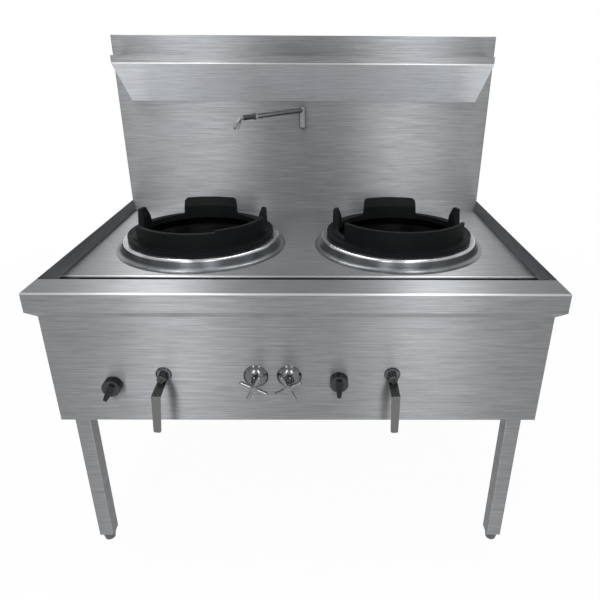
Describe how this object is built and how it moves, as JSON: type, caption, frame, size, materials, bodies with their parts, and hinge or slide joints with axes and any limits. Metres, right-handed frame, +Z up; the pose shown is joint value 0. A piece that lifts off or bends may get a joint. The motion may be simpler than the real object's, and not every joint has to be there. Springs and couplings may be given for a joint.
{
  "type": "wok range",
  "caption": "Gas wok range on legs: sunken deck with front gutter, jet burners under cast-iron wok rings, tall splash back with ladle shelf, swing spout, levers, taps and knobs.",
  "frame": {"origin": "middle of the bounding box, on the floor", "axes": "+X to the right seen from the front, +Y to the back, +Z up"},
  "size_m": [1.2, 0.936, 1.268],
  "materials": {
    "brushed_steel": "satin, grain running left to right",
    "polished_steel": "polished",
    "chamber_steel": "heat-dulled",
    "cast_iron": "matte black, as cast",
    "refractory": "rough cast",
    "pipe_steel": "galvanised",
    "copper_tube": "drawn copper",
    "brass": "machined",
    "chrome": "bright chrome",
    "lever_steel": "tumbled stainless",
    "grip_rubber": "grooved",
    "black_plastic": "moulded",
    "foot_plastic": "moulded"
  },
  "bodies": {
    "frame": {"base_frame": "brushed_steel", "burner_chamber_left": "chamber_steel", "burner_chamber_right": "chamber_steel", "burner_collar_left": "polished_steel", "burner_collar_right": "polished_steel", "burner_feed_pipe_left": "pipe_steel", "burner_feed_pipe_right": "pipe_steel", "cold_water_pipe": "copper_tube", "cover_screws": "chrome", "deck_plate": "brushed_steel", "drain_outlet": "brushed_steel", "front_panel": "brushed_steel", "gas_manifold": "pipe_steel", "gas_valve_body_left": "brass", "gas_valve_body_right": "brass", "gutter_trough": "brushed_steel", "hot_water_pipe": "copper_tube", "jet_burner_left": "cast_iron", "jet_burner_right": "cast_iron", "ladle_shelf": "brushed_steel", "left_panel": "brushed_steel", "leg_front_left": "brushed_steel", "leg_front_right": "brushed_steel", "leg_rear_left": "brushed_steel", "leg_rear_right": "brushed_steel", "lever_cups": "chrome", "pilot_cock_left": "brass", "pilot_cock_right": "brass", "pilot_tube_left": "copper_tube", "pilot_tube_right": "copper_tube", "rear_panel": "brushed_steel", "refractory_lining_left": "refractory", "refractory_lining_right": "refractory", "right_panel": "brushed_steel", "rim_frame": "brushed_steel", "riser_pipe": "copper_tube", "splash_cover": "brushed_steel", "splash_panel": "brushed_steel", "spout_elbow": "chrome", "tap_body_left": "brass", "tap_body_right": "brass", "tap_escutcheons": "chrome"},
    "foot_front_left": {"foot_front_left": "foot_plastic"},
    "foot_front_right": {"foot_front_right": "foot_plastic"},
    "foot_rear_left": {"foot_rear_left": "foot_plastic"},
    "foot_rear_right": {"foot_rear_right": "foot_plastic"},
    "wok_ring_left": {"wok_ring_left": "cast_iron"},
    "gas_lever_left": {"gas_lever_left": "lever_steel", "valve_ball_left": "chrome"},
    "pilot_knob_left": {"pilot_knob_left": "black_plastic"},
    "tap_handle_left": {"tap_handle_left": "chrome"},
    "wok_ring_right": {"wok_ring_right": "cast_iron"},
    "gas_lever_right": {"gas_lever_right": "lever_steel", "valve_ball_right": "chrome"},
    "pilot_knob_right": {"pilot_knob_right": "black_plastic"},
    "tap_handle_right": {"tap_handle_right": "chrome"},
    "swing_spout": {"spout_arm": "chrome", "spout_grip": "grip_rubber", "spout_nose": "chrome"},
    "trigger": {"spout_trigger": "chrome"}
  },
  "joints": [
    {"name": "foot_front_left_screw", "type": "slide", "parent": "frame", "child": "foot_front_left", "axis": [0, 0, -1], "range_m": [0, 0.025]},
    {"name": "foot_front_right_screw", "type": "slide", "parent": "frame", "child": "foot_front_right", "axis": [0, 0, -1], "range_m": [0, 0.025]},
    {"name": "foot_rear_left_screw", "type": "slide", "parent": "frame", "child": "foot_rear_left", "axis": [0, 0, -1], "range_m": [0, 0.025]},
    {"name": "foot_rear_right_screw", "type": "slide", "parent": "frame", "child": "foot_rear_right", "axis": [0, 0, -1], "range_m": [0, 0.025]},
    {"name": "wok_ring_left_lift", "type": "slide", "parent": "frame", "child": "wok_ring_left", "axis": [0, 0, 1], "range_m": [0, 0.15]},
    {"name": "gas_lever_left_turn", "type": "hinge", "parent": "frame", "child": "gas_lever_left", "pos_m": [-0.316, -0.392, 0.535], "axis": [0, -1, 0], "range_deg": [0, 90]},
    {"name": "pilot_knob_left_turn", "type": "hinge", "parent": "frame", "child": "pilot_knob_left", "pos_m": [-0.437, -0.392, 0.508], "axis": [0, -1, 0], "range_deg": [-62, 118]},
    {"name": "tap_handle_left_turn", "type": "hinge", "parent": "frame", "child": "tap_handle_left", "pos_m": [-0.0995, -0.392, 0.5295], "axis": [0, -1, 0], "range_deg": [0, 180]},
    {"name": "wok_ring_right_lift", "type": "slide", "parent": "frame", "child": "wok_ring_right", "axis": [0, 0, 1], "range_m": [0, 0.15]},
    {"name": "gas_lever_right_turn", "type": "hinge", "parent": "frame", "child": "gas_lever_right", "pos_m": [0.222, -0.392, 0.535], "axis": [0, -1, 0], "range_deg": [0, 90]},
    {"name": "pilot_knob_right_turn", "type": "hinge", "parent": "frame", "child": "pilot_knob_right", "pos_m": [0.0965, -0.392, 0.5205], "axis": [0, -1, 0], "range_deg": [-90, 90]},
    {"name": "tap_handle_right_turn", "type": "hinge", "parent": "frame", "child": "tap_handle_right", "pos_m": [-0.021, -0.392, 0.5295], "axis": [0, -1, 0], "range_deg": [0, 180]},
    {"name": "spout_swing", "type": "hinge", "parent": "frame", "child": "swing_spout", "pos_m": [-0.005, 0.368, 1.036], "axis": [0, 0, 1], "range_deg": [-54, 126]},
    {"name": "trigger_pull", "type": "hinge", "parent": "swing_spout", "child": "trigger", "pos_m": [-0.17281, 0.13703, 1.0415], "axis": [0.809, -0.5878, 0], "range_deg": [0, 18], "stiffness_Nm_per_rad": 0.05, "springref_deg": -8.59}
  ]
}
